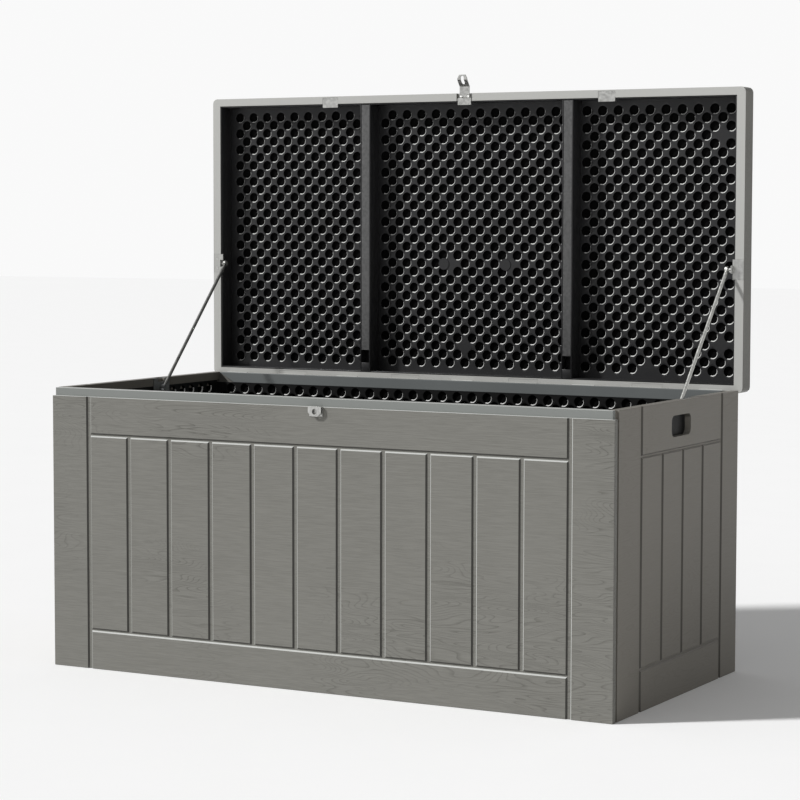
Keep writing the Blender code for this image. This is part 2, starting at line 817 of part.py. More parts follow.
# ---------------------------------------------------------------- hasp and staple
def make_hasp(lid):
    """The hasp: a leaf let into the lid's front rim, and a cranked strap that folds over the staple."""
    axis = (0, hasp_pin_y, hasp_pin_z)
    outer_start = hasp_middle_knuckle / 2 + hasp_knuckle_gap
    outer_end = outer_start + hasp_outer_knuckle
    sheet_level = rim_level + sheet_below_rim - hasp_pin_z
    clear = hasp_knuckle_radius + hasp_knuckle_gap
    leaf_end = recess_front + hasp_reach - hasp_pin_y

    def leaf(bm):
        level = sheet_level + sheet / 2
        line = [(clear, level), (leaf_end - sheet / 2, level), (leaf_end - sheet / 2, level + clip_upstand)]
        add_prism(bm, strip(line, sheet), "X", -hasp_leaf_width / 2, hasp_leaf_width / 2)

    def leaf_tongues(bm):
        for side in (-1, 1):
            low = (side * outer_start, 0, -hasp_tongue_drop)
            add_block(bm, low, (side * outer_end, clear + sheet, sheet_level + sheet))

    def leaf_barrels(bm):
        for side in (-1, 1):
            profile = [(outer_start, hasp_knuckle_radius), (outer_end, hasp_knuckle_radius)]
            add_turned(bm, profile, (0, 0, 0), (side, 0, 0))

    def bore(bm):
        radius = hasp_pin_radius + fit
        profile = [(0.0, radius), (hasp_leaf_width, radius)]
        add_turned(bm, profile, (-hasp_leaf_width / 2, 0, 0), (1, 0, 0), pin_sides)

    leaf_part = add_part("hasp_leaf", leaf, steel, lid, axis)
    shape(leaf_part, "tongues", leaf_tongues, "UNION")
    shape(leaf_part, "barrels", leaf_barrels, "UNION")
    shape(leaf_part, "bore", bore)

    def pin(bm):
        profile = [(0.0, hasp_pin_radius), (2 * outer_end, hasp_pin_radius)]
        add_turned(bm, profile, (-outer_end, 0, 0), (1, 0, 0), pin_sides)

    add_part("hasp_pin", pin, dull_steel, lid, axis)

    strap_level = rim_level + hasp_strap_above_rim + sheet / 2 - hasp_pin_z
    crank = (hasp_crank_length * math.cos(hasp_crank_angle), hasp_crank_length * math.sin(hasp_crank_angle))
    crank_end = (-hasp_strap_length - crank[0], strap_level - crank[1])
    tip_end = crank_end[0] - hasp_tip_length

    def strap(bm):
        line = [(-clear, strap_level), (-hasp_strap_length, strap_level),
                crank_end, (tip_end, crank_end[1])]
        add_prism(bm, strip(line, sheet), "X", -hasp_strap_width / 2, hasp_strap_width / 2)

    def strap_tongue(bm):
        half = hasp_middle_knuckle / 2
        add_block(bm, (-half, -clear - sheet, strap_level - sheet / 2), (half, 0, strap_level + sheet / 2))

    def strap_barrel(bm):
        profile = [(0.0, hasp_knuckle_radius), (hasp_middle_knuckle, hasp_knuckle_radius)]
        add_turned(bm, profile, (-hasp_middle_knuckle / 2, 0, 0), (1, 0, 0))

    def slot(bm):
        middle = (0.0, -(hasp_slot_start + hasp_slot_end) / 2)
        half_length = (hasp_slot_end - hasp_slot_start) / 2
        outline = rounded_outline(middle, hasp_slot_width / 2, half_length, hasp_slot_width / 2 - fit)
        add_prism(bm, outline, "Z", crank_end[1] - 2 * sheet, 2 * sheet)

    def tip_corners(bm):
        half = hasp_strap_width / 2
        for side in (-1, 1):
            outline = [(side * (half + sheet), tip_end - sheet),
                       (side * (half - hasp_tip_corner_width), tip_end - sheet),
                       (side * (half - hasp_tip_corner_width), tip_end),
                       (side * half, tip_end + hasp_tip_corner_length),
                       (side * (half + sheet), tip_end + hasp_tip_corner_length)]
            add_prism(bm, outline, "Z", crank_end[1] - 2 * sheet, crank_end[1] + 2 * sheet)

    fold = new_empty("hasp_fold_axis", axis, 0.0, lid)
    strap_part = add_part("hasp_strap", strap, steel, fold)
    shape(strap_part, "tongue", strap_tongue, "UNION")
    shape(strap_part, "barrel", strap_barrel, "UNION")
    shape(strap_part, "bore", bore)
    shape(strap_part, "slot", slot)
    shape(strap_part, "tip_corners", tip_corners)


def make_staple():
    """The staple: a bent plate riveted under the front wall's band, with a hole for a padlock."""
    back = -fit - sheet / 2
    front = -staple_standoff + sheet / 2
    top = body_height - staple_top - sheet / 2
    bottom = top - staple_drop
    half = staple_width / 2

    def body(bm):
        line = [(back, bottom), (back, top), (front, top), (front, bottom)]
        add_prism(bm, strip(line, sheet), "X", -half, half)

    def padlock_hole(bm):
        radius = staple_hole / 2
        outline = rounded_outline((0.0, (top + bottom) / 2), radius, radius, radius - fit)
        add_prism(bm, outline, "Y", front - 2 * sheet, front + sheet)

    def corners(bm):
        for side in (-1, 1):
            inner = half - staple_corner
            level = bottom + staple_corner
            outline = [(side * inner, bottom - sheet), (side * inner, bottom), (side * half, level),
                       (side * (half + sheet), level), (side * (half + sheet), bottom - sheet)]
            add_prism(bm, outline, "Y", front - 2 * sheet, front + sheet)

    def rivet_holes(bm):
        for side in (-1, 1):
            profile = [(0.0, rivet_radius + fit), (2 * sheet, rivet_radius + fit)]
            start = (side * rivet_spacing / 2, back - sheet, rivet_level)
            add_turned(bm, profile, start, (0, 1, 0), screw_sides)

    def rivet(bm):
        neck = rivet_head_height
        profile = [(0.0, rivet_crown_radius), (rivet_shoulder_height, rivet_shoulder_radius),
                   (neck, rivet_head_radius), (neck, rivet_radius),
                   (neck + fit + sheet + slab_thickness, rivet_radius)]
        add_turned(bm, profile, (0, 0, 0), (0, 1, 0), screw_sides)

    staple = add_part("staple", body, steel, location=(0, -half_depth, 0))
    shape(staple, "padlock_hole", padlock_hole)
    shape(staple, "corners", corners)
    shape(staple, "rivet_holes", rivet_holes)
    head_front = -half_depth - 2 * fit - sheet - rivet_head_height
    for number, side in ((1, -1), (2, 1)):
        place = (side * rivet_spacing / 2, head_front, rivet_level)
        add_part("staple_rivet_%d" % number, rivet, dull_steel, location=place)


# ---------------------------------------------------------------- stays
def upper_screw_places():
    """Where the lid brackets' screws start, in the lid's frame."""
    places = []
    for side in (-1, 1):
        for step in (-1, 1):
            places.append((side * upper_screw_x, stay_pin_y + step * screw_spacing / 2, upper_plate_bottom))
    return places


def make_upper_bracket(name, side, lid):
    """The lid's bracket: a plate let into the side rim, and a flange that carries the stay's pin."""
    inner = recess_half_width - upper_flange_inset

    def plate(bm):
        low = (side * inner, stay_pin_y - upper_plate_length / 2, upper_plate_bottom)
        outer = side * (lid_half_width - upper_plate_edge_gap)
        high = (outer, stay_pin_y + upper_plate_length / 2, upper_plate_top)
        add_block(bm, low, high)

    def flange(bm):
        low = (side * inner, stay_pin_y - upper_flange_width / 2, rim_level - upper_flange_drop)
        high = (side * (inner + upper_plate_thickness), stay_pin_y + upper_flange_width / 2,
                upper_plate_bottom + upper_plate_thickness / 2)
        add_block(bm, low, high)

    def holes(bm):
        radius = stay_pin_radius + fit
        start = (side * (inner - overcut), stay_pin_y, stay_pin_z)
        profile = [(0.0, radius), (upper_plate_thickness + 2 * overcut, radius)]
        add_turned(bm, profile, start, (side, 0, 0), pin_sides)
        for place in upper_screw_places():
            if place[0] * side > 0:
                add_turned(bm, countersink_profile(), place, (0, 0, 1), screw_sides)

    bracket = add_part(name, plate, dull_steel, lid)
    shape(bracket, "flange", flange, "UNION")
    shape(bracket, "holes", holes)


def make_stay_pin(name, side, lid):
    """The pin that the stay's eye turns on; its shoulder keeps the eye off the flange."""
    outer = recess_half_width - upper_flange_inset + upper_plate_thickness - fit
    flange_face = recess_half_width - upper_flange_inset - fit
    eye_outer = stay_x + stay_eye_thickness / 2 + fit
    eye_inner = stay_x - stay_eye_thickness / 2 - fit
    profile = [(0.0, stay_pin_radius), (outer - flange_face, stay_pin_radius),
               (outer - flange_face, stay_pin_shoulder_radius),
               (outer - eye_outer, stay_pin_shoulder_radius),
               (outer - eye_outer, stay_pin_radius), (outer - eye_inner, stay_pin_radius),
               (outer - eye_inner, stay_pin_head_radius),
               (outer - eye_inner + stay_pin_head_height, stay_pin_head_radius)]

    def body(bm):
        add_turned(bm, profile, (0, 0, 0), (-side, 0, 0), pin_sides)

    add_part(name, body, steel, lid, (side * outer, stay_pin_y, stay_pin_z))


def make_stay(side_name, side, lid):
    """The stay: a rod with an eye at the lid, modelled pointing down from the eye, and its end collar."""
    to_swivel = Vector((swivel_y - hinge_y - stay_pin_z, swivel_z - hinge_z + stay_pin_y))
    reach = to_swivel.length
    world_turn = math.atan2(to_swivel[0], -to_swivel[1])
    axis = new_empty("stay_axis_" + side_name, (side * stay_x, stay_pin_y, stay_pin_z),
                     world_turn + lid_open_angle, lid)
    collar_start = reach + swivel_radius + 2 * fit

    def rod(bm):
        profile = [(stay_eye_radius - 2 * fit, stay_rod_radius), (reach + stay_overrun, stay_rod_radius)]
        add_turned(bm, profile, (0, 0, 0), (0, 0, -1), pin_sides)

    def eye(bm):
        profile = [(0.0, stay_eye_radius), (stay_eye_thickness, stay_eye_radius)]
        add_turned(bm, profile, (-stay_eye_thickness / 2, 0, 0), (1, 0, 0))

    def eye_bore(bm):
        radius = stay_pin_radius + fit
        profile = [(0.0, radius), (2 * stay_eye_thickness, radius)]
        add_turned(bm, profile, (-stay_eye_thickness, 0, 0), (1, 0, 0), pin_sides)

    def collar(bm):
        profile = [(0.0, collar_radius), (collar_length, collar_radius)]
        add_turned(bm, profile, (0, 0, -collar_start), (0, 0, -1))

    def collar_bore(bm):
        radius = stay_rod_radius + fit
        profile = [(0.0, radius), (collar_length + 2 * overcut, radius)]
        add_turned(bm, profile, (0, 0, -collar_start + overcut), (0, 0, -1), pin_sides)

    rod_part = add_part("stay_rod_" + side_name, rod, steel, axis)
    shape(rod_part, "eye", eye, "UNION")
    shape(rod_part, "eye_bore", eye_bore)
    shape(add_part("stay_collar_" + side_name, collar, dull_steel, axis), "bore", collar_bore)
    make_swivel("stay_swivel_" + side_name, side, world_turn)


def make_swivel(name, side, turn):
    """The swivel on the end wall's bracket: the stay slides through it, and it turns on its stub."""
    axis = new_empty(name + "_axis", (side * stay_x, swivel_y, swivel_z), turn)
    stub_end = inner_half_width - 2 * fit - stay_x

    def body(bm):
        add_turned(bm, [(-swivel_length / 2, swivel_radius), (swivel_length / 2, swivel_radius),
                        (swivel_length / 2, swivel_stub_radius), (stub_end, swivel_stub_radius)],
                   (0, 0, 0), (side, 0, 0))

    def bore(bm):
        radius = stay_rod_radius + swivel_bore_clearance
        start = (0, 0, 2 * swivel_radius)
        add_turned(bm, [(0.0, radius), (4 * swivel_radius, radius)], start, (0, 0, -1), pin_sides)

    shape(add_part(name, body, steel, axis), "bore", bore)


def make_lower_bracket(name, side):
    """The end wall's bracket: a plate inside the wall with two ears hooked over its rim."""
    outer = inner_half_width - fit
    inner = outer - lower_plate_thickness
    bottom = swivel_z - lower_plate_height / 2
    half = lower_plate_length / 2
    ear_top = body_height - fit

    def plate(bm):
        low = (side * inner, swivel_y - half, bottom)
        add_block(bm, low, (side * outer, swivel_y + half, bottom + lower_plate_height))

    def ears(bm):
        for step in (-1, 1):
            low = (side * inner, swivel_y + step * half, bottom + lower_plate_height / 2)
            add_block(bm, low, (side * outer, swivel_y + step * (half - lower_ear_length), ear_top))

    def ear_flanges(bm):
        for step in (-1, 1):
            low = (side * inner, swivel_y + step * half, ear_bottom)
            outer_edge = side * (inner_half_width + lower_ear_reach)
            high = (outer_edge, swivel_y + step * (half - lower_ear_length), ear_top)
            add_block(bm, low, high)

    def holes(bm):
        radius = swivel_stub_radius + fit
        start = (side * (inner - overcut), swivel_y, swivel_z)
        profile = [(0.0, radius), (lower_plate_thickness + 2 * overcut, radius)]
        add_turned(bm, profile, start, (side, 0, 0), pin_sides)
        for place in lower_screw_places(side):
            add_turned(bm, countersink_profile(), place, (0, 0, -1), screw_sides)

    bracket = add_part(name, plate, dull_steel)
    shape(bracket, "ears", ears, "UNION")
    shape(bracket, "ear_flanges", ear_flanges, "UNION")
    shape(bracket, "holes", holes)


def lower_screw_places(side):
    """Where one lower bracket's screws start."""
    x = side * (inner_half_width + lower_ear_reach / 2)
    return [(x, swivel_y + step * lower_screw_offset, body_height - fit) for step in (-1, 1)]


def main():
    """Build the box, then the lid in its hinge's frame, standing open."""
    make_base()
    make_front_panel()
    make_back_panel()
    make_end_panel("left_panel", -1)
    make_end_panel("right_panel", 1)
    make_liners()
    make_back_rail()
    make_staple()

    lid = new_empty("lid_axis", (0, hinge_y, hinge_z), -lid_open_angle)
    make_hinge(lid)
    make_lid_shell(lid)
    make_lid_liner(lid)
    make_hasp(lid)
    for side_name, side in (("left", -1), ("right", 1)):
        make_stiffener_bar("stiffener_bar_" + side_name, side, lid)
        make_clip("front_clip_" + side_name, side, lid)
        make_upper_bracket("upper_bracket_" + side_name, side, lid)
        make_stay_pin("stay_pin_" + side_name, side, lid)
        make_stay(side_name, side, lid)
        make_lower_bracket("lower_bracket_" + side_name, side)
        for number, place in enumerate(lower_screw_places(side), 1):
            add_screw("lower_screw_%s_%d" % (side_name, number), place, (0, 0, -1), None)
        upper = [place for place in upper_screw_places() if place[0] * side > 0]
        for number, place in enumerate(upper, 1):
            add_screw("upper_screw_%s_%d" % (side_name, number), place, (0, 0, 1), lid)


clear_scene()
grey_front = new_material("weathered grey plastic", (0.195, 0.192, 0.175), 0.62)
grey_side = new_material("weathered grey plastic, ends", (0.185, 0.180, 0.165), 0.62)
grey_rim = new_material("smooth grey plastic", (0.42, 0.43, 0.42), 0.50)
black = new_material("black plastic", (0.022, 0.022, 0.023), 0.45)
steel = new_material("plated steel", (0.60, 0.61, 0.62), 0.32, 1.0)
dull_steel = new_material("galvanised steel", (0.42, 0.43, 0.43), 0.45, 1.0)
main()
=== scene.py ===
"""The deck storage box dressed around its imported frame: grained plastic, dimpled liners, plated steel."""
import math

import bmesh
import bpy
from mathutils import Matrix, Vector


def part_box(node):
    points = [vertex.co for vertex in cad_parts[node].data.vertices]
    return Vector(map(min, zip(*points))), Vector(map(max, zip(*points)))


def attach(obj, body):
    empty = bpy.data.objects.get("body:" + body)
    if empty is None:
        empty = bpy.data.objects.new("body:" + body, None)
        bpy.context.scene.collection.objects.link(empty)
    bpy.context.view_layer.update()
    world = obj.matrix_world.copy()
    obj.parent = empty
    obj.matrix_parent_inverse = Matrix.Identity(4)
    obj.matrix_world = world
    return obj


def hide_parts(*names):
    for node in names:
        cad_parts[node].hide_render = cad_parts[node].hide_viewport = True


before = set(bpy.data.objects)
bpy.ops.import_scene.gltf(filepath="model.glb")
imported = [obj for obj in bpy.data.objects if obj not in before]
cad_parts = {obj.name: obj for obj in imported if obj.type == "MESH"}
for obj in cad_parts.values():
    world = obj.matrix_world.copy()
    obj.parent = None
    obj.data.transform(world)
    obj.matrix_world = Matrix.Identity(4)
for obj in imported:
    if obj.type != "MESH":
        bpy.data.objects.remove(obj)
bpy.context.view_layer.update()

# ---------------------------------------------------------------- sizes, in metres and radians
# The pits lie on a diagonal lattice.  Each ring is (share of the pit's radius, share of its depth).
dimple_step = 0.0207
dimple_radius = 0.0128
dimple_depth = 0.0060
dimple_rings = ((1.0, 0.0), (0.93, 0.12), (0.84, 0.40), (0.82, 1.0))
dimple_sides = 16
dimple_margin = 0.0135
sheet_backing = 0.0008

# The first bands between rings are the pit's rim.  The part of it towards lit_turn, its lower right,
# has a light material that is a painted highlight, a crescent of light.
rim_bands = 2
lit_turn = math.radians(-38)
lit_from = 0.35

# The lid's pan, the ribs that hold its bars, its round pads, and its places without a pit, as (x, z).
lid_floor_y = 0.407
lid_wall = 0.003
rib_gap = 0.0003
rib_proud = 0.0014
rib_end = 0.021
rib_end_drop = 0.0004
pad_radius = 0.0150
pad_height = 0.0015
pad_overlap = 0.0004
pad_sides = 32
pad_clearance = 0.004
lid_pads = ((-0.080, 0.952), (0.092, 0.952))
blank_radius = 0.0150
lid_blanks = ((0.670, 1.271), (0.468, 0.712), (-0.014, 0.758), (0.656, 0.756))

# The end walls' liners are bare around this point, where the walls have their hand holds.
hold_y = 0.010
hold_z = 0.609
hold_bare_radius = 0.060

# How edges are softened and how shading is kept flat.
soft_edge = 0.0010
wall_edge = 0.0018
fine_edge = 0.00025
block_edge = 0.0006
edge_segments = 2
weld_distance = 0.00001
crease_angle = math.radians(24)
sharp_angle = math.radians(50)
flat_weight = 100

# The wood grain.  A scale is how many features a metre holds, and a squeeze draws them out along the grain.
line_scale = 900.0
line_squeeze = 40.0
figure_scale = 12.0
figure_squeeze = 6.0
figure_rings = 48.0
figure_line_share = 0.30
figure_depth = 0.75
figure_patches = (2.3, 2.3, 3.1)
grain_lowest = 0.35
grain_highest = 0.85
grain_roughness = (0.60, 0.46)
cloud_scale = (1.6, 1.6, 2.4)
cloud_strength = 0.25
front_relief = 0.00026
lid_relief = 0.00022
end_relief = 0.00001

# Smooth places on the grained pieces, and their edges.  A facing is a range of one axis of the normal.
top_band_z = 0.646
band_blend = 0.0005
speckle_scale = 900.0
speckle_darkest = 0.93
rim_facing = (-0.8, -0.6)
top_facing = (0.6, 0.9)
slope_range = (0.90, 0.985)
# light_range is where edges turn from painted shade to painted highlight as they face more up or to the
# left.
light_range = (-0.05, 0.15)
edge_polish = 0.14

# The parts of a noise's range that are stretched to the full range.
noise_range = (0.3, 0.7)
fine_range = (0.34, 0.66)
patch_range = (0.46, 0.60)
dull_range = (0.35, 0.65)

# Smooth plastic and steel: their textures, and how far their roughness strays from the stated one.
plastic_cloud_scale = 5.0
plastic_smoother = 0.07
plastic_rougher = 0.09
dull_patch_scale = 160.0
brush_relief = 0.00003
steel_smoother = 0.06
steel_rougher = 0.10

# The camera was fitted to the box's corners in the photo.
camera_place = (2.8554, -5.1692, 1.0742)
camera_yaw = math.radians(28.762)
camera_pitch = math.radians(4.217)
camera_roll = math.radians(0.089)
camera_lens = 112.86
camera_sensor = 36.0

# The light and the floor.
key_direction = (1.3, 1.0, -1.25)
key_strength = 3.25
key_spread = math.radians(5)
ambient_strength = 0.35
backdrop_color = (0.95, 0.95, 0.95, 1.0)
floor_size = 30.0
floor_drop = 0.0005
floor_cloud_scale = 4.0
floor_light = (0.97, 0.97, 0.97)
floor_dark = (0.95, 0.95, 0.95)


# ---------------------------------------------------------------- materials
class Nodes:
    """Short calls for building one material's nodes."""

    def __init__(self, name, metallic=0.0, roughness=0.5, specular=0.5):
        self.material = bpy.data.materials.new(name)
        self.material.use_nodes = True
        self.tree = self.material.node_tree
        self.shader = self.tree.nodes["Principled BSDF"]
        self.shader.inputs["Metallic"].default_value = metallic
        self.shader.inputs["Roughness"].default_value = roughness
        self.shader.inputs["Specular IOR Level"].default_value = specular
        self.coordinates = self.tree.nodes.new("ShaderNodeTexCoord")

    def link(self, source, target):
        self.tree.links.new(source, target)

    def stretched(self, scale):
        """Object coordinates, stretched."""
        mapping = self.tree.nodes.new("ShaderNodeMapping")
        mapping.inputs["Scale"].default_value = scale
        self.link(self.coordinates.outputs["Object"], mapping.inputs["Vector"])
        return mapping.outputs["Vector"]

    def noise(self, vector, scale=1.0, detail=4.0, distortion=0.0):
        node = self.tree.nodes.new("ShaderNodeTexNoise")
        node.inputs["Scale"].default_value = scale
        node.inputs["Detail"].default_value = detail
        node.inputs["Distortion"].default_value = distortion
        self.link(vector, node.inputs["Vector"])
        return node.outputs["Fac"]

    def math(self, operation, first, second):
        node = self.tree.nodes.new("ShaderNodeMath")
        node.operation = operation
        for socket, value in zip(node.inputs, (first, second)):
            if isinstance(value, (int, float)):
                socket.default_value = value
            else:
                self.link(value, socket)
        return node.outputs[0]

    def spread(self, value, low, high, to_low, to_high):
        """A value mapped from one range to another, and held there."""
        node = self.tree.nodes.new("ShaderNodeMapRange")
        self.link(value, node.inputs["Value"])
        limits = {"From Min": low, "From Max": high, "To Min": to_low, "To Max": to_high}
        for name, number in limits.items():
            node.inputs[name].default_value = number
        return node.outputs["Result"]

    def mix(self, factor, first, second):
        """A colour between two colours, which may be sockets.  Sockets 6, 7 and 2 are the node's colours."""
        node = self.tree.nodes.new("ShaderNodeMix")
        node.data_type = "RGBA"
        self.link(factor, node.inputs["Factor"])
        for socket, value in ((node.inputs[6], first), (node.inputs[7], second)):
            if isinstance(value, tuple):
                socket.default_value = (*value, 1.0)
            else:
                self.link(value, socket)
        return node.outputs[2]

    def color(self, value):
        self.link(value, self.shader.inputs["Base Color"])

    def roughness(self, value):
        self.link(value, self.shader.inputs["Roughness"])

    def bump(self, height, distance):
        node = self.tree.nodes.new("ShaderNodeBump")
        node.inputs["Strength"].default_value = 1.0
        node.inputs["Distance"].default_value = distance
        self.link(height, node.inputs["Height"])
        self.link(node.outputs["Normal"], self.shader.inputs["Normal"])

    def axis(self, output, number):
        """One axis of the piece's own coordinates or normals."""
        node = self.tree.nodes.new("ShaderNodeSeparateXYZ")
        self.link(self.coordinates.outputs[output], node.inputs[0])
        return node.outputs[number]


def wood_height(nodes, along):
    """Wood grain as a height: fine lines along one axis, cut by patches of broad cathedral figure."""
    fine_scale = [line_scale, line_scale, line_scale]
    fine_scale[along] /= line_squeeze
    broad_scale = [figure_scale, figure_scale, figure_scale]
    broad_scale[along] /= figure_squeeze
    fine = nodes.noise(nodes.stretched(tuple(fine_scale)), detail=3.0)
    figure = nodes.noise(nodes.stretched(tuple(broad_scale)), detail=2.0, distortion=0.3)
    rings = nodes.math("FRACT", nodes.math("MULTIPLY", figure, figure_rings), 0.0)
    line = nodes.spread(rings, 0.0, figure_line_share, 0.0, 1.0)
    patches = nodes.noise(nodes.stretched(figure_patches), detail=1.0)
    strength = nodes.spread(patches, *patch_range, 0.0, figure_depth)
    cut = nodes.math("MULTIPLY", nodes.math("SUBTRACT", 1.0, line), strength)
    return nodes.math("SUBTRACT", nodes.spread(fine, *fine_range, grain_lowest, grain_highest), cut)


def slope_mask(nodes):
    """1 on bevels and groove sides, and 0 on faces square to the box."""
    parts = [nodes.math("ABSOLUTE", nodes.axis("Normal", number), 0.0) for number in range(3)]
    largest = nodes.math("MAXIMUM", nodes.math("MAXIMUM", parts[0], parts[1]), parts[2])
    return nodes.spread(largest, *slope_range, 1.0, 0.0)


def grained_plastic(name, dark, light, painted_highlight_color, shade_color, relief, along=0,
                    band_level=None, band_color=None, rim_color=None):
    """Wood-grained plastic.  Its edges, and faces that look up, carry a painted highlight where they face up
    or to the left, and painted shade elsewhere.  This goes by the piece's own normals and turns with the
    piece.

    It can have a smooth band above a level, and a smooth rim face towards the front."""
    nodes = Nodes(name, roughness=0.5, specular=0.35)
    grain = wood_height(nodes, along)
    cloud = nodes.noise(nodes.stretched(cloud_scale), detail=3.0)
    base = nodes.mix(nodes.spread(grain, grain_lowest - figure_depth, 1.0, 0.0, 1.0), dark, light)
    face = nodes.mix(nodes.spread(cloud, *noise_range, 0.0, cloud_strength), base, light)
    height = grain
    smooth_places = []
    if band_color:
        above = nodes.spread(nodes.axis("Object", 2), band_level, band_level + band_blend, 0.0, 1.0)
        smooth_places.append((above, band_color))
    if rim_color:
        in_front = nodes.spread(nodes.axis("Normal", 1), *rim_facing, 1.0, 0.0)
        smooth_places.append((in_front, rim_color))
    for mask, smooth_color in smooth_places:
        speckle = nodes.noise(nodes.stretched((speckle_scale, speckle_scale, speckle_scale)), detail=2.0)
        tone = nodes.mix(speckle, smooth_color, tuple(value * speckle_darkest for value in smooth_color))
        face = nodes.mix(mask, face, tone)
        height = nodes.math("MULTIPLY", height, nodes.math("SUBTRACT", 1.0, mask))
    # Bevels, groove sides and up-facing faces get painted light: a painted highlight where they face up or
    # to the left, painted shade elsewhere.
    upward = nodes.spread(nodes.axis("Normal", 2), *top_facing, 0.0, 1.0)
    edges = nodes.math("MAXIMUM", slope_mask(nodes), upward)
    towards_light = nodes.math("SUBTRACT", nodes.axis("Normal", 2), nodes.axis("Normal", 0))
    painted_edge_light = nodes.mix(nodes.spread(towards_light, *light_range, 0.0, 1.0), shade_color, painted_highlight_color)
    nodes.color(nodes.mix(edges, face, painted_edge_light))
    rough = nodes.spread(grain, 0.0, 1.0, *grain_roughness)
    nodes.roughness(nodes.math("SUBTRACT", rough, nodes.math("MULTIPLY", edges, edge_polish)))
    nodes.bump(nodes.math("MULTIPLY", height, nodes.math("SUBTRACT", 1.0, edges)), relief)
    return nodes.material


def smooth_plastic(name, color, rough, specular=0.4, grit_scale=700.0, relief=0.00006, variation=0.85):
    """Moulded plastic with a fine spark-eroded texture."""
    nodes = Nodes(name, roughness=rough, specular=specular)
    speckle = nodes.noise(nodes.stretched((1.0, 1.0, 1.0)), grit_scale, detail=3.0)
    cloud = nodes.noise(nodes.stretched((1.0, 1.0, 1.0)), plastic_cloud_scale, detail=3.0)
    darker = tuple(variation * value for value in color)
    nodes.color(nodes.mix(nodes.spread(cloud, *noise_range, 0.0, 1.0), darker, color))
    nodes.roughness(nodes.spread(speckle, *noise_range, rough - plastic_smoother, rough + plastic_rougher))
    nodes.bump(speckle, relief)
    return nodes.material


def metal(name, color, rough, stretch, spots=0.8):
    """Plated or galvanised steel with faint brushing and patches of dulling."""
    nodes = Nodes(name, metallic=1.0, roughness=rough)
    brushing = nodes.noise(nodes.stretched(stretch))
    patch = nodes.noise(nodes.stretched((1.0, 1.0, 1.0)), dull_patch_scale)
    dulled = tuple(spots * value for value in color)
    nodes.color(nodes.mix(nodes.spread(patch, *dull_range, 0.0, 1.0), dulled, color))
    nodes.roughness(nodes.spread(patch, *noise_range, rough - steel_smoother, rough + steel_rougher))
    nodes.bump(brushing, brush_relief)
    return nodes.material


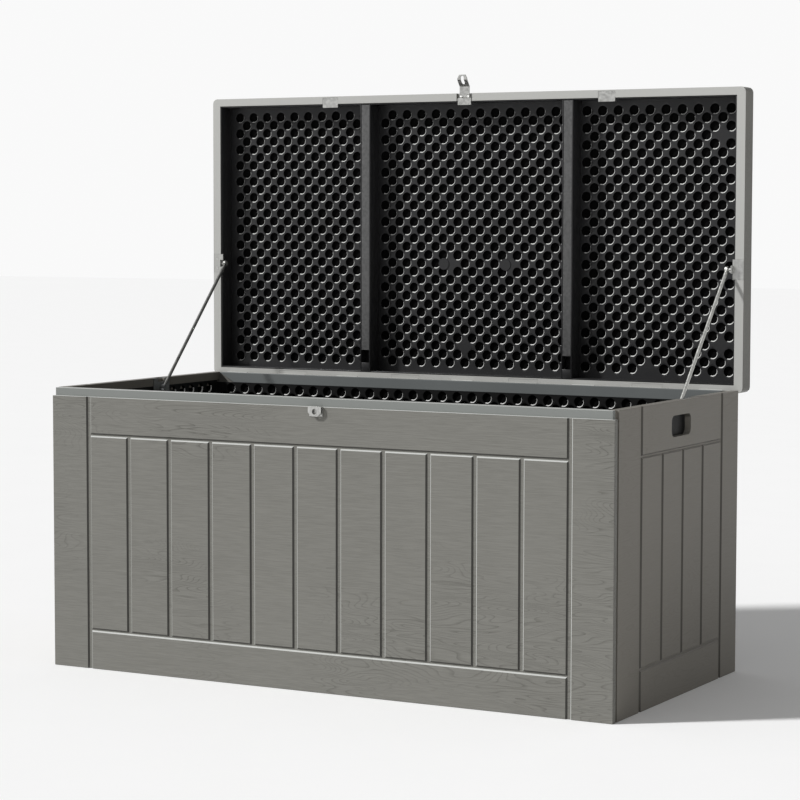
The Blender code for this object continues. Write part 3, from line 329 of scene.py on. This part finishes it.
# ---------------------------------------------------------------- dimpled sheets
def dimpled_sheet(name, body, place, width, height, web, skips=(), pads=(), bare_columns=()):
    """A moulded sheet with blind round pits on a diagonal lattice.  It is built facing +Z and then placed.

    web is the material between the pits.  The pits' insides have their own darker material, which is painted
    shade, and the lit side of their rims its own light one, which is a painted highlight.
    skips are (x, y, radius) round places with no pit, and bare_columns are (middle, half width) strips."""
    bm = bmesh.new()
    half_x = width / 2
    half_y = height / 2
    across = math.ceil(half_x / dimple_step) + 1
    up = math.ceil(half_y / dimple_step) + 1
    lattice = {}

    def corner(column, row):
        if (column, row) not in lattice:
            lattice[(column, row)] = bm.verts.new((column * dimple_step, row * dimple_step, 0.0))
        return lattice[(column, row)]

    def is_bare(x, y):
        if abs(x) > half_x - dimple_margin or abs(y) > half_y - dimple_margin:
            return True
        if any(math.hypot(x - spot[0], y - spot[1]) < spot[2] for spot in skips):
            return True
        return any(abs(x - middle) < half for middle, half in bare_columns)

    for row in range(-up, up + 1):
        for column in range(-across, across + 1):
            if (row + column) % 2:
                continue
            corners = [corner(column + 1, row), corner(column, row + 1),
                       corner(column - 1, row), corner(column, row - 1)]
            x = column * dimple_step
            y = row * dimple_step
            if is_bare(x, y):
                bm.faces.new(corners)
                continue
            rings = []
            for share, drop in dimple_rings:
                radius = dimple_radius * share
                rings.append([bm.verts.new((x + radius * math.cos(2 * math.pi * step / dimple_sides),
                                            y + radius * math.sin(2 * math.pi * step / dimple_sides),
                                            -dimple_depth * drop)) for step in range(dimple_sides)])
            quarter = dimple_sides // 4
            rim = rings[0]
            for number, point in enumerate(corners):
                start = number * quarter - quarter // 2
                for step in range(start, start + quarter):
                    bm.faces.new((point, rim[(step + 1) % dimple_sides], rim[step % dimple_sides]))
                joint = rim[(start + quarter) % dimple_sides]
                bm.faces.new((point, corners[(number + 1) % 4], joint))
            for number, (outer, inner) in enumerate(zip(rings, rings[1:])):
                for step in range(dimple_sides):
                    after = (step + 1) % dimple_sides
                    side = bm.faces.new((outer[step], outer[after], inner[after], inner[step]))
                    # Rim bands on the lit side take material 2, a painted highlight; the pit's other faces
                    # take material 1, painted shade.
                    turn = 2 * math.pi * (step + 0.5) / dimple_sides
                    is_lit = math.cos(turn - lit_turn) > lit_from
                    side.material_index = 2 if number < rim_bands and is_lit else 1
            bm.faces.new(rings[-1]).material_index = 1

    borders = (((1, 0, 0), half_x), ((-1, 0, 0), half_x), ((0, 1, 0), half_y), ((0, -1, 0), half_y))
    for direction, distance in borders:
        everything = bm.verts[:] + bm.edges[:] + bm.faces[:]
        bmesh.ops.bisect_plane(bm, geom=everything, plane_co=Vector(direction) * distance,
                               plane_no=direction, clear_outer=True)
    rim_edges = [edge for edge in bm.edges if edge.is_boundary]
    skirt = bmesh.ops.extrude_edge_only(bm, edges=rim_edges)
    lower = [item for item in skirt["geom"] if isinstance(item, bmesh.types.BMVert)]
    for vert in lower:
        vert.co.z = -dimple_depth - sheet_backing
    bottom = [item for item in skirt["geom"] if isinstance(item, bmesh.types.BMEdge)
              and all(vert in lower for vert in item.verts)]
    bmesh.ops.contextual_create(bm, geom=bottom)
    for x, y in pads:
        disc = bmesh.ops.create_cone(bm, cap_ends=True, segments=pad_sides, radius1=pad_radius,
                                     radius2=pad_radius - pad_height / 2, depth=pad_height + pad_overlap)
        bmesh.ops.translate(bm, verts=disc["verts"], vec=(x, y, pad_height / 2))
    bmesh.ops.recalc_face_normals(bm, faces=bm.faces)
    mesh = bpy.data.meshes.new(name)
    bm.to_mesh(mesh)
    bm.free()
    mesh.transform(place)
    mesh.shade_smooth()
    mesh.set_sharp_from_angle(angle=sharp_angle)
    sheet = finish_piece(name, mesh, body, (web, pit_shade_black, painted_pit_highlight))
    flat = sheet.modifiers.new("flat faces", "WEIGHTED_NORMAL")
    flat.weight = flat_weight
    flat.keep_sharp = True
    return sheet


def finish_piece(name, mesh, body, materials):
    """Put a mesh in the scene, on its body, in its materials."""
    for material in materials:
        mesh.materials.append(material)
    piece = bpy.data.objects.new(name, mesh)
    bpy.context.scene.collection.objects.link(piece)
    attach(piece, body)
    return piece


def blocks(name, body, material, boxes):
    """One piece made of separate closed blocks with softened edges."""
    bm = bmesh.new()
    for first, second in boxes:
        low = [min(pair) for pair in zip(first, second)]
        high = [max(pair) for pair in zip(first, second)]
        size = [b - a for a, b in zip(low, high)]
        middle = [(a + b) / 2 for a, b in zip(low, high)]
        made = bmesh.ops.create_cube(bm, size=1.0, matrix=Matrix.LocRotScale(middle, None, size))
        edges = list({item for vert in made["verts"] for item in vert.link_edges})
        bmesh.ops.bevel(bm, geom=edges, offset=block_edge, segments=edge_segments, profile=0.5,
                        affect="EDGES")
    mesh = bpy.data.meshes.new(name)
    bm.to_mesh(mesh)
    bm.free()
    mesh.shade_smooth()
    mesh.set_sharp_from_angle(angle=sharp_angle)
    return finish_piece(name, mesh, body, (material,))


def facing(normal, up, origin):
    """A matrix that stands a sheet built facing +Z so that it faces a direction."""
    z = Vector(normal)
    y = Vector(up)
    x = y.cross(z)
    turn = Matrix((x, y, z)).transposed().to_4x4()
    return Matrix.Translation(origin) @ turn


def make_lid_liner():
    """The lid's black pan: dimpled floor, walls, and the two ribs that hold the bars."""
    low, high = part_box("lid_liner")
    middle_z = (low[2] + high[2]) / 2
    width = high[0] - low[0] - 2 * lid_wall
    height = high[2] - low[2] - 2 * lid_wall
    bar_low, bar_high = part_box("stiffener_bar_right")
    bar_middle = (bar_low[0] + bar_high[0]) / 2
    half_bar = (bar_high[0] - bar_low[0]) / 2 + rib_gap
    rib_half = half_bar + lid_wall
    skips = [(x, z - middle_z, pad_radius + pad_clearance) for x, z in lid_pads]
    skips += [(x, z - middle_z, blank_radius) for x, z in lid_blanks]
    pads = [(x, z - middle_z) for x, z in lid_pads]
    columns = [(side * bar_middle, rib_half + dimple_radius) for side in (-1, 1)]
    place = facing((0, -1, 0), (0, 0, 1), (0, lid_floor_y, middle_z))
    floor = dimpled_sheet("lid_dimpled_floor", "lid", place, width, height, liner_black,
                          skips, pads, columns)
    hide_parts("lid_liner")

    near = low[1]
    far = lid_floor_y + lid_wall
    left = low[0] + lid_wall
    right = high[0] - lid_wall
    bottom = low[2] + lid_wall
    top = high[2] - lid_wall
    walls = [((low[0], near, low[2]), (left, far, high[2])),
             ((right, near, low[2]), (high[0], far, high[2])),
             ((left, near, low[2]), (right, far, bottom)),
             ((left, near, top), (right, far, high[2]))]
    blocks("lid_pan_walls", "lid", liner_black, walls)
    crest = near - rib_proud
    seat = bar_high[1] + rib_gap
    ribs = []
    for side in (-1, 1):
        middle = side * bar_middle
        for hand in (-1, 1):
            ribs.append(((middle + hand * half_bar, crest, bottom),
                         (middle + hand * rib_half, lid_floor_y, top)))
        ribs.append(((middle - half_bar, seat, bottom), (middle + half_bar, lid_floor_y, top)))
        ribs.append(((middle - half_bar, crest + rib_end_drop, bottom),
                     (middle + half_bar, seat, bottom + rib_end)))
    blocks("lid_pan_ribs", "lid", liner_black, ribs)


def make_wall_liners():
    """The dimpled black inner faces of the four walls."""
    for name, normal in (("front_liner", (0, 1, 0)), ("back_liner", (0, -1, 0)),
                         ("left_liner", (1, 0, 0)), ("right_liner", (-1, 0, 0))):
        low, high = (Vector(corner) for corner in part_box(name))
        middle = (low + high) / 2
        along = Vector((abs(normal[1]), abs(normal[0]), 0))
        face = middle.copy()
        for axis in range(2):
            if normal[axis]:
                face[axis] = high[axis] if normal[axis] > 0 else low[axis]
        width = (high - low).dot(along)
        skips = ()
        if name in ("left_liner", "right_liner"):
            sign = (Vector((0, 0, 1)).cross(Vector(normal))).y
            skips = [(sign * (hold_y - middle.y) + step * dimple_step, hold_z - middle.z, hold_bare_radius)
                     for step in (-1, 0, 1)]
        # The walls' web takes the darker black, painted shade inside the box.
        sheet = dimpled_sheet(name + "_dimpled", "box", facing(normal, (0, 0, 1), face), width,
                              high.z - low.z, well_shade_black, skips)
        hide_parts(name)


# ---------------------------------------------------------------- the rest
def dress(node, material, edge):
    """Give a CAD node a material, and soften its edges with modifiers."""
    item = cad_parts[node]
    item.data.materials.clear()
    item.data.materials.append(material)
    weld = item.modifiers.new("weld", "WELD")
    weld.merge_threshold = weld_distance
    bevel = item.modifiers.new("soft edges", "BEVEL")
    bevel.width = edge
    bevel.segments = edge_segments
    bevel.limit_method = "ANGLE"
    bevel.angle_limit = crease_angle
    bevel.use_clamp_overlap = True
    item.data.shade_smooth()
    flat = item.modifiers.new("flat faces", "WEIGHTED_NORMAL")
    flat.weight = flat_weight


def make_stage():
    """A plain pale floor."""
    bm = bmesh.new()
    bmesh.ops.create_grid(bm, x_segments=1, y_segments=1, size=floor_size)
    mesh = bpy.data.meshes.new("floor")
    bm.to_mesh(mesh)
    bm.free()
    floor = bpy.data.objects.new("floor", mesh)
    floor.location = (0, 0, -floor_drop)
    bpy.context.scene.collection.objects.link(floor)
    nodes = Nodes("floor", roughness=0.9, specular=0.1)
    speckle = nodes.noise(nodes.stretched((1, 1, 1)), floor_cloud_scale)
    nodes.color(nodes.mix(speckle, floor_light, floor_dark))
    mesh.materials.append(nodes.material)


def make_light():
    """White surroundings, and one fairly hard key light from the front, upper left."""
    world = bpy.data.worlds.new("studio")
    world.use_nodes = True
    tree = world.node_tree
    ambient = tree.nodes["Background"]
    ambient.inputs["Color"].default_value = (1.0, 1.0, 1.0, 1.0)
    ambient.inputs["Strength"].default_value = ambient_strength
    backdrop = tree.nodes.new("ShaderNodeBackground")
    backdrop.inputs["Color"].default_value = backdrop_color
    path = tree.nodes.new("ShaderNodeLightPath")
    choose = tree.nodes.new("ShaderNodeMixShader")
    tree.links.new(path.outputs["Is Camera Ray"], choose.inputs[0])
    tree.links.new(ambient.outputs[0], choose.inputs[1])
    tree.links.new(backdrop.outputs[0], choose.inputs[2])
    tree.links.new(choose.outputs[0], tree.nodes["World Output"].inputs["Surface"])
    bpy.context.scene.world = world
    sun = bpy.data.lights.new("key", "SUN")
    sun.energy = key_strength
    sun.angle = key_spread
    key = bpy.data.objects.new("key", sun)
    key.rotation_euler = Vector(key_direction).to_track_quat("-Z", "Y").to_euler()
    bpy.context.scene.collection.objects.link(key)


def make_camera():
    """The camera, standing where the box is seen from its front right."""
    forward = Vector((-math.sin(camera_yaw) * math.cos(camera_pitch),
                      math.cos(camera_yaw) * math.cos(camera_pitch), -math.sin(camera_pitch)))
    level = forward.cross(Vector((0, 0, 1))).normalized()
    over = level.cross(forward)
    right = math.cos(camera_roll) * level + math.sin(camera_roll) * over
    upward = -math.sin(camera_roll) * level + math.cos(camera_roll) * over
    data = bpy.data.cameras.new("camera")
    data.lens = camera_lens
    data.sensor_width = camera_sensor
    data.dof.use_dof = False
    camera = bpy.data.objects.new("camera", data)
    turn = Matrix((right, upward, -forward)).transposed().to_4x4()
    camera.matrix_world = Matrix.Translation(camera_place) @ turn
    bpy.context.scene.collection.objects.link(camera)
    bpy.context.scene.camera = camera


make_camera()
make_light()
make_stage()
bpy.context.scene.view_settings.view_transform = "Standard"

grain_dark = (0.088, 0.085, 0.074)
grain_light = (0.202, 0.199, 0.180)
# Edge colours of the grained materials: the light ones are a painted highlight and the dark ones painted
# shade, on bevels, groove sides and up-facing faces.
painted_highlight_edge = (0.54, 0.55, 0.53)
painted_shade_edge = (0.050, 0.048, 0.042)
front_grain = grained_plastic("grained front", grain_dark, grain_light, painted_highlight_edge, painted_shade_edge, front_relief,
                              band_level=top_band_z, band_color=(0.205, 0.215, 0.205))
side_grain = grained_plastic("grained ends", dark=(0.181, 0.168, 0.145), light=(0.188, 0.176, 0.153),
                             painted_highlight_color=(0.240, 0.228, 0.205), shade_color=(0.085, 0.079, 0.068),
                             relief=end_relief, along=1)
back_grain = grained_plastic("grained back", grain_dark, grain_light, painted_highlight_edge, painted_shade_edge, front_relief)
lid_grain = grained_plastic("grained lid", grain_dark, grain_light, painted_highlight_color=(0.46, 0.46, 0.43),
                            shade_color=(0.16, 0.16, 0.15), relief=lid_relief, rim_color=(0.46, 0.46, 0.44))
rail_plastic = smooth_plastic("smooth rail", (0.148, 0.160, 0.160), rough=0.5)
leaf_plastic = smooth_plastic("rim plastic", (0.45, 0.45, 0.43), rough=0.5)
liner_black = smooth_plastic("black liner", (0.022, 0.022, 0.023), rough=0.34)
# The wall liners' web is a darker copy of the black liner, painted shade inside the box.
well_shade_black = smooth_plastic("painted shade well", (0.009, 0.009, 0.009), rough=0.45, specular=0.15)
# The pits' insides are a darker black than the web, painted shade in the hollows.
pit_shade_black = smooth_plastic("painted shade pits", (0.003, 0.003, 0.003), rough=0.60, specular=0.03)
# The light pit rim material is a painted highlight on the black plastic.
painted_pit_highlight = smooth_plastic("painted highlight pit rims", (0.72, 0.72, 0.70), rough=0.30)
base_black = smooth_plastic("black floor", (0.014, 0.014, 0.015), rough=0.5)
bright_steel = metal("plated steel", (0.60, 0.60, 0.58), rough=0.36, stretch=(1500.0, 60.0, 60.0),
                     spots=0.88)
rod_steel = metal("drawn rod", (0.86, 0.86, 0.82), rough=0.34, stretch=(1500.0, 40.0, 40.0), spots=0.85)
# The left stay rod has a darker copy of the rod steel, painted shade.
shaded_rod_steel = metal("painted shade rod", (0.24, 0.24, 0.23), rough=0.42, stretch=(1500.0, 40.0, 40.0), spots=0.7)
zinc_steel = metal("galvanised steel", (0.38, 0.39, 0.39), rough=0.44, stretch=(200.0, 200.0, 200.0),
                   spots=0.75)
bar_steel = metal("bar steel", (0.15, 0.15, 0.15), rough=0.46, stretch=(1500.0, 1500.0, 20.0), spots=0.8)

large_pieces = {"base_panel": base_black, "front_panel": front_grain, "back_panel": back_grain,
                "left_panel": side_grain, "right_panel": side_grain, "back_rail": rail_plastic,
                "lid_shell": lid_grain}
small_pieces = {"hinge_rod": bright_steel, "staple": bright_steel, "hasp_leaf": bright_steel,
                "hasp_strap": bright_steel, "hasp_pin": zinc_steel}
small_groups = (("hinge_leaf", leaf_plastic), ("stiffener_bar", bar_steel), ("front_clip", bright_steel),
                ("upper_bracket_left", leaf_plastic), ("upper_bracket_right", bright_steel),
                ("lower_bracket", zinc_steel), ("stay_rod_left", shaded_rod_steel),
                ("stay_rod_right", rod_steel), ("stay_pin", bright_steel), ("stay_collar", zinc_steel),
                ("stay_swivel", zinc_steel), ("upper_screw", bright_steel), ("lower_screw", bright_steel),
                ("staple_rivet", zinc_steel))
for node in sorted(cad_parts):
    for prefix, material in small_groups:
        if node.startswith(prefix):
            small_pieces[node] = material
for node, material in large_pieces.items():
    dress(node, material, wall_edge if node.endswith("_panel") else soft_edge)
for node, material in small_pieces.items():
    dress(node, material, fine_edge)

make_lid_liner()
make_wall_liners()
